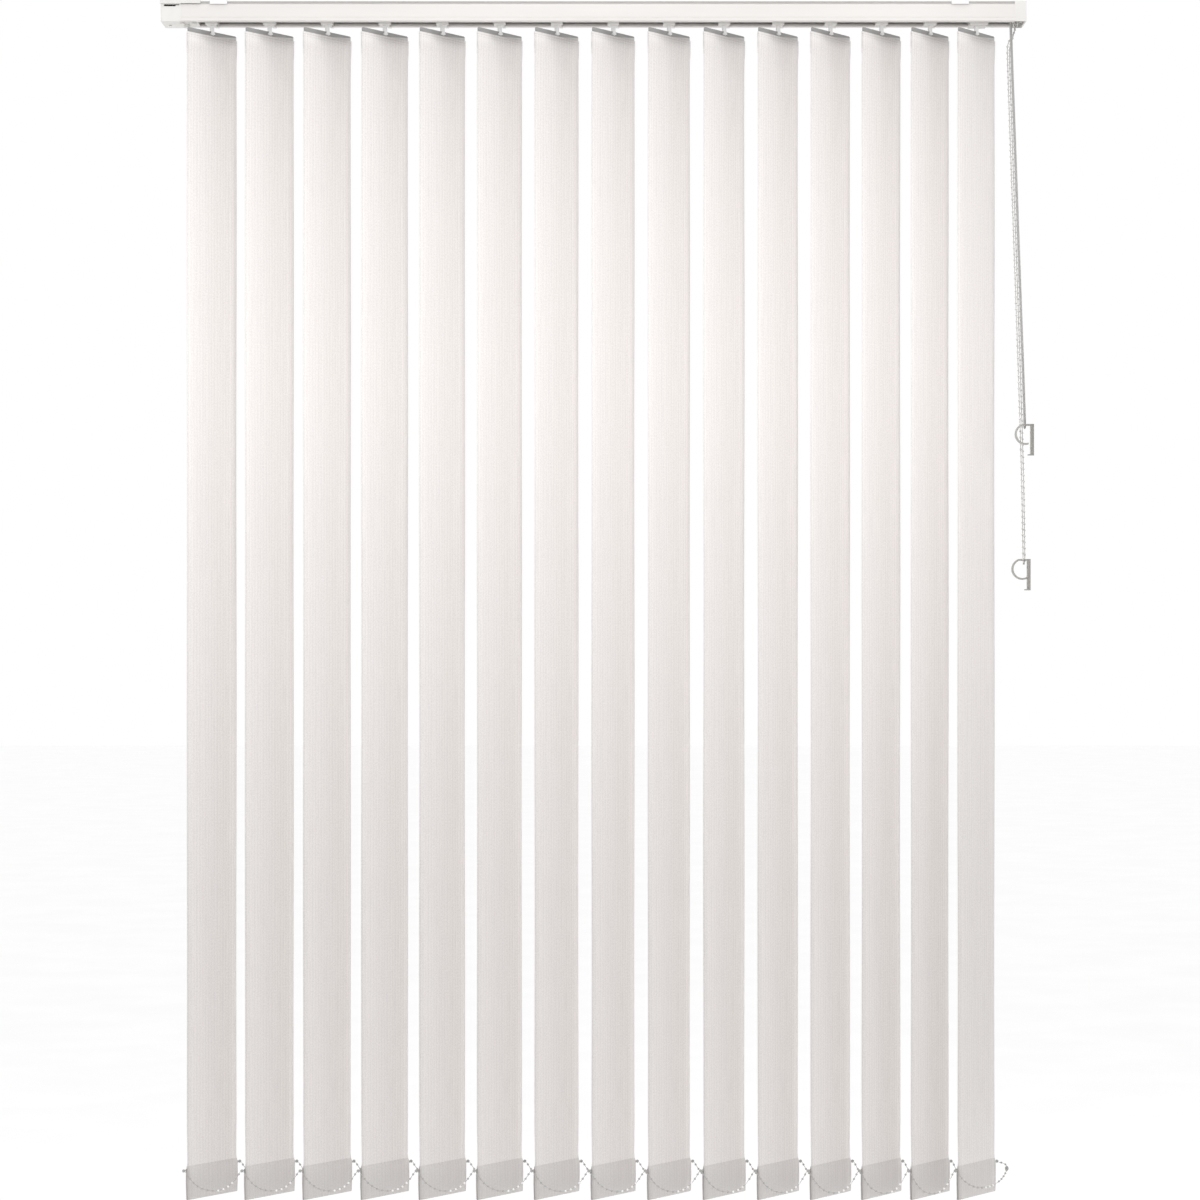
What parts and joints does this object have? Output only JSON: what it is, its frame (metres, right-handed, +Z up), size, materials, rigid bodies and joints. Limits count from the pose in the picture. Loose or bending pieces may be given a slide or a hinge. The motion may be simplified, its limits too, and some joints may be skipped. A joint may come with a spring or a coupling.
{
  "type": "vertical blind",
  "caption": "Ceiling-fixed vertical blind: fabric slats on sliding carriers in a white head rail, drawn by a cord loop and turned by a bead chain, with linked hems.",
  "frame": {"origin": "on the ceiling plane, midway between the two ceiling clips' screw holes", "axes": "+X along the head rail towards the control end, -Y towards the room, +Z up"},
  "size_m": [1.1945, 0.08, 1.6356],
  "materials": {
    "rail_white": "white powder coat, satin",
    "clip_white": "white paint, satin",
    "cap_white": "moulded, light gloss",
    "carrier_white": "moulded, matt",
    "hanger_grey": "frosted plastic",
    "slat_fabric": "fine plain weave, stiffened",
    "cord_white": "braided cord",
    "bead_white": "moulded beads on a thread",
    "hold_down_white": "moulded, satin",
    "wheel_white": "moulded, matt",
    "rod_metal": "bare extruded"
  },
  "bodies": {
    "rail": {"head_rail": "rail_white", "ceiling_clips": "clip_white", "idle_end_cap": "cap_white", "control_end_cap": "cap_white", "traverse_cord": "cord_white", "bead_chain": "bead_white", "cord_hold_down": "hold_down_white", "chain_hold_down": "hold_down_white", "carrier_01": "carrier_white"},
    "carrier_02": {"carrier_02": "carrier_white"},
    "carrier_03": {"carrier_03": "carrier_white"},
    "carrier_04": {"carrier_04": "carrier_white"},
    "carrier_05": {"carrier_05": "carrier_white"},
    "carrier_06": {"carrier_06": "carrier_white"},
    "carrier_07": {"carrier_07": "carrier_white"},
    "carrier_08": {"carrier_08": "carrier_white"},
    "carrier_09": {"carrier_09": "carrier_white"},
    "carrier_10": {"carrier_10": "carrier_white"},
    "carrier_11": {"carrier_11": "carrier_white"},
    "carrier_12": {"carrier_12": "carrier_white"},
    "carrier_13": {"carrier_13": "carrier_white"},
    "carrier_14": {"carrier_14": "carrier_white"},
    "carrier_15": {"carrier_15": "carrier_white"},
    "slat_01": {"hanger_01": "hanger_grey", "slat_01": "slat_fabric"},
    "slat_02": {"hanger_02": "hanger_grey", "slat_02": "slat_fabric"},
    "slat_03": {"hanger_03": "hanger_grey", "slat_03": "slat_fabric"},
    "slat_04": {"hanger_04": "hanger_grey", "slat_04": "slat_fabric"},
    "slat_05": {"hanger_05": "hanger_grey", "slat_05": "slat_fabric"},
    "slat_06": {"hanger_06": "hanger_grey", "slat_06": "slat_fabric"},
    "slat_07": {"hanger_07": "hanger_grey", "slat_07": "slat_fabric"},
    "slat_08": {"hanger_08": "hanger_grey", "slat_08": "slat_fabric"},
    "slat_09": {"hanger_09": "hanger_grey", "slat_09": "slat_fabric"},
    "slat_10": {"hanger_10": "hanger_grey", "slat_10": "slat_fabric"},
    "slat_11": {"hanger_11": "hanger_grey", "slat_11": "slat_fabric"},
    "slat_12": {"hanger_12": "hanger_grey", "slat_12": "slat_fabric"},
    "slat_13": {"hanger_13": "hanger_grey", "slat_13": "slat_fabric"},
    "slat_14": {"hanger_14": "hanger_grey", "slat_14": "slat_fabric"},
    "slat_15": {"hanger_15": "hanger_grey", "slat_15": "slat_fabric"},
    "tilt_drive": {"tilt_rod": "rod_metal", "chain_wheel": "wheel_white"},
    "idle_pulley": {"idle_pulley": "wheel_white"},
    "front_sheave": {"front_sheave": "wheel_white"},
    "rear_sheave": {"rear_sheave": "wheel_white"},
    "front_hem_chain": {"front_hem_chain": "bead_white"},
    "back_hem_chain": {"back_hem_chain": "bead_white"}
  },
  "joints": [
    {"name": "traverse", "type": "slide", "parent": "rail", "child": "carrier_15", "axis": [-1, 0, 0], "range_m": [0, 0.8054], "deforming": ["front_hem_chain", "back_hem_chain"]},
    {"name": "carrier_14_slide", "type": "slide", "parent": "rail", "child": "carrier_14", "axis": [-1, 0, 0], "range_m": [0, 0.76151]},
    {"name": "carrier_13_slide", "type": "slide", "parent": "rail", "child": "carrier_13", "axis": [-1, 0, 0], "range_m": [0, 0.71188]},
    {"name": "carrier_12_slide", "type": "slide", "parent": "rail", "child": "carrier_12", "axis": [-1, 0, 0], "range_m": [0, 0.65943]},
    {"name": "carrier_11_slide", "type": "slide", "parent": "rail", "child": "carrier_11", "axis": [-1, 0, 0], "range_m": [0, 0.60463]},
    {"name": "carrier_10_slide", "type": "slide", "parent": "rail", "child": "carrier_10", "axis": [-1, 0, 0], "range_m": [0, 0.54791]},
    {"name": "carrier_09_slide", "type": "slide", "parent": "rail", "child": "carrier_09", "axis": [-1, 0, 0], "range_m": [0, 0.48964]},
    {"name": "carrier_08_slide", "type": "slide", "parent": "rail", "child": "carrier_08", "axis": [-1, 0, 0], "range_m": [0, 0.43018]},
    {"name": "carrier_07_slide", "type": "slide", "parent": "rail", "child": "carrier_07", "axis": [-1, 0, 0], "range_m": [0, 0.36981]},
    {"name": "carrier_06_slide", "type": "slide", "parent": "rail", "child": "carrier_06", "axis": [-1, 0, 0], "range_m": [0, 0.3088]},
    {"name": "carrier_05_slide", "type": "slide", "parent": "rail", "child": "carrier_05", "axis": [-1, 0, 0], "range_m": [0, 0.24735]},
    {"name": "carrier_04_slide", "type": "slide", "parent": "rail", "child": "carrier_04", "axis": [-1, 0, 0], "range_m": [0, 0.18565]},
    {"name": "carrier_03_slide", "type": "slide", "parent": "rail", "child": "carrier_03", "axis": [-1, 0, 0], "range_m": [0, 0.1238]},
    {"name": "carrier_02_slide", "type": "slide", "parent": "rail", "child": "carrier_02", "axis": [-1, 0, 0], "range_m": [0, 0.06191]},
    {"name": "tilt", "type": "hinge", "parent": "rail", "child": "slat_01", "pos_m": [-0.5178, 0, -0.04], "axis": [0, 0, 1], "range_deg": [-33.5, 116.5]},
    {"name": "slat_02_tilt", "type": "hinge", "parent": "carrier_02", "child": "slat_02", "pos_m": [-0.4387, 0, -0.04], "axis": [0, 0, 1], "range_deg": [-33.51, 116.51]},
    {"name": "slat_03_tilt", "type": "hinge", "parent": "carrier_03", "child": "slat_03", "pos_m": [-0.35961, 0, -0.04], "axis": [0, 0, 1], "range_deg": [-33.51, 116.51]},
    {"name": "slat_04_tilt", "type": "hinge", "parent": "carrier_04", "child": "slat_04", "pos_m": [-0.28056, 0, -0.04], "axis": [0, 0, 1], "range_deg": [-33.51, 116.51]},
    {"name": "slat_05_tilt", "type": "hinge", "parent": "carrier_05", "child": "slat_05", "pos_m": [-0.20166, 0, -0.04], "axis": [0, 0, 1], "range_deg": [-33.51, 116.51]},
    {"name": "slat_06_tilt", "type": "hinge", "parent": "carrier_06", "child": "slat_06", "pos_m": [-0.12301, 0, -0.04], "axis": [0, 0, 1], "range_deg": [-33.51, 116.51]},
    {"name": "slat_07_tilt", "type": "hinge", "parent": "carrier_07", "child": "slat_07", "pos_m": [-0.0448, 0, -0.04], "axis": [0, 0, 1], "range_deg": [-33.51, 116.51]},
    {"name": "slat_08_tilt", "type": "hinge", "parent": "carrier_08", "child": "slat_08", "pos_m": [0.03277, 0, -0.04], "axis": [0, 0, 1], "range_deg": [-33.51, 116.51]},
    {"name": "slat_09_tilt", "type": "hinge", "parent": "carrier_09", "child": "slat_09", "pos_m": [0.10943, 0, -0.04], "axis": [0, 0, 1], "range_deg": [-33.51, 116.51]},
    {"name": "slat_10_tilt", "type": "hinge", "parent": "carrier_10", "child": "slat_10", "pos_m": [0.1849, 0, -0.04], "axis": [0, 0, 1], "range_deg": [-33.51, 116.51]},
    {"name": "slat_11_tilt", "type": "hinge", "parent": "carrier_11", "child": "slat_11", "pos_m": [0.25882, 0, -0.04], "axis": [0, 0, 1], "range_deg": [-33.51, 116.51]},
    {"name": "slat_12_tilt", "type": "hinge", "parent": "carrier_12", "child": "slat_12", "pos_m": [0.33082, 0, -0.04], "axis": [0, 0, 1], "range_deg": [-33.51, 116.51]},
    {"name": "slat_13_tilt", "type": "hinge", "parent": "carrier_13", "child": "slat_13", "pos_m": [0.40047, 0, -0.04], "axis": [0, 0, 1], "range_deg": [-33.51, 116.51]},
    {"name": "slat_14_tilt", "type": "hinge", "parent": "carrier_14", "child": "slat_14", "pos_m": [0.4673, 0, -0.04], "axis": [0, 0, 1], "range_deg": [-33.51, 116.51]},
    {"name": "slat_15_tilt", "type": "hinge", "parent": "carrier_15", "child": "slat_15", "pos_m": [0.5308, 0, -0.04], "axis": [0, 0, 1], "range_deg": [-33.51, 116.51]},
    {"name": "rod_turn", "type": "hinge", "parent": "rail", "child": "tilt_drive", "pos_m": [0, 0.0102, -0.02], "axis": [1, 0, 0], "range_deg": [-403, 1399]},
    {"name": "idle_pulley_turn", "type": "hinge", "parent": "rail", "child": "idle_pulley", "pos_m": [-0.5705, -0.0086, -0.012], "axis": [0, 0, 1], "range_deg": [0, 12144.69]},
    {"name": "front_sheave_turn", "type": "hinge", "parent": "rail", "child": "front_sheave", "pos_m": [0.5715, -0.0124, -0.016], "axis": [0, 1, 0], "range_deg": [-11537.51, 0]},
    {"name": "rear_sheave_turn", "type": "hinge", "parent": "rail", "child": "rear_sheave", "pos_m": [0.5743, -0.0048, -0.016], "axis": [0, 1, 0], "range_deg": [0, 11537.51]},
    {"name": "front_hem_chain_hang", "type": "hinge", "parent": "slat_01", "child": "front_hem_chain", "pos_m": [-0.55126, -0.03782, -1.595], "axis": [0, 0, 1], "range_deg": [-116.51, 33.51]},
    {"name": "back_hem_chain_hang", "type": "hinge", "parent": "slat_01", "child": "back_hem_chain", "pos_m": [-0.48434, 0.03782, -1.595], "axis": [0, 0, 1], "range_deg": [-116.51, 33.51]}
  ],
  "couplings": [
    {"joint": "carrier_14_slide", "follows": "traverse", "ratio": 0.94549},
    {"joint": "carrier_13_slide", "follows": "traverse", "ratio": 0.88387},
    {"joint": "carrier_12_slide", "follows": "traverse", "ratio": 0.81875},
    {"joint": "carrier_11_slide", "follows": "traverse", "ratio": 0.75071},
    {"joint": "carrier_10_slide", "follows": "traverse", "ratio": 0.68028},
    {"joint": "carrier_09_slide", "follows": "traverse", "ratio": 0.60794},
    {"joint": "carrier_08_slide", "follows": "traverse", "ratio": 0.53411},
    {"joint": "carrier_07_slide", "follows": "traverse", "ratio": 0.45915},
    {"joint": "carrier_06_slide", "follows": "traverse", "ratio": 0.3834},
    {"joint": "carrier_05_slide", "follows": "traverse", "ratio": 0.30711},
    {"joint": "carrier_04_slide", "follows": "traverse", "ratio": 0.23049},
    {"joint": "carrier_03_slide", "follows": "traverse", "ratio": 0.1537},
    {"joint": "carrier_02_slide", "follows": "traverse", "ratio": 0.076856},
    {"joint": "slat_02_tilt", "follows": "tilt", "ratio": 1},
    {"joint": "slat_03_tilt", "follows": "tilt", "ratio": 1},
    {"joint": "slat_04_tilt", "follows": "tilt", "ratio": 1},
    {"joint": "slat_05_tilt", "follows": "tilt", "ratio": 1},
    {"joint": "slat_06_tilt", "follows": "tilt", "ratio": 1},
    {"joint": "slat_07_tilt", "follows": "tilt", "ratio": 1},
    {"joint": "slat_08_tilt", "follows": "tilt", "ratio": 1},
    {"joint": "slat_09_tilt", "follows": "tilt", "ratio": 1},
    {"joint": "slat_10_tilt", "follows": "tilt", "ratio": 1},
    {"joint": "slat_11_tilt", "follows": "tilt", "ratio": 1},
    {"joint": "slat_12_tilt", "follows": "tilt", "ratio": 1},
    {"joint": "slat_13_tilt", "follows": "tilt", "ratio": 1},
    {"joint": "slat_14_tilt", "follows": "tilt", "ratio": 1},
    {"joint": "slat_15_tilt", "follows": "tilt", "ratio": 1},
    {"joint": "rod_turn", "follows": "tilt", "ratio": 12},
    {"joint": "idle_pulley_turn", "follows": "traverse", "rad_per_m": 263.16},
    {"joint": "front_sheave_turn", "follows": "traverse", "rad_per_m": -250},
    {"joint": "rear_sheave_turn", "follows": "traverse", "rad_per_m": 250},
    {"joint": "front_hem_chain_hang", "follows": "tilt", "ratio": -1},
    {"joint": "back_hem_chain_hang", "follows": "tilt", "ratio": -1}
  ]
}
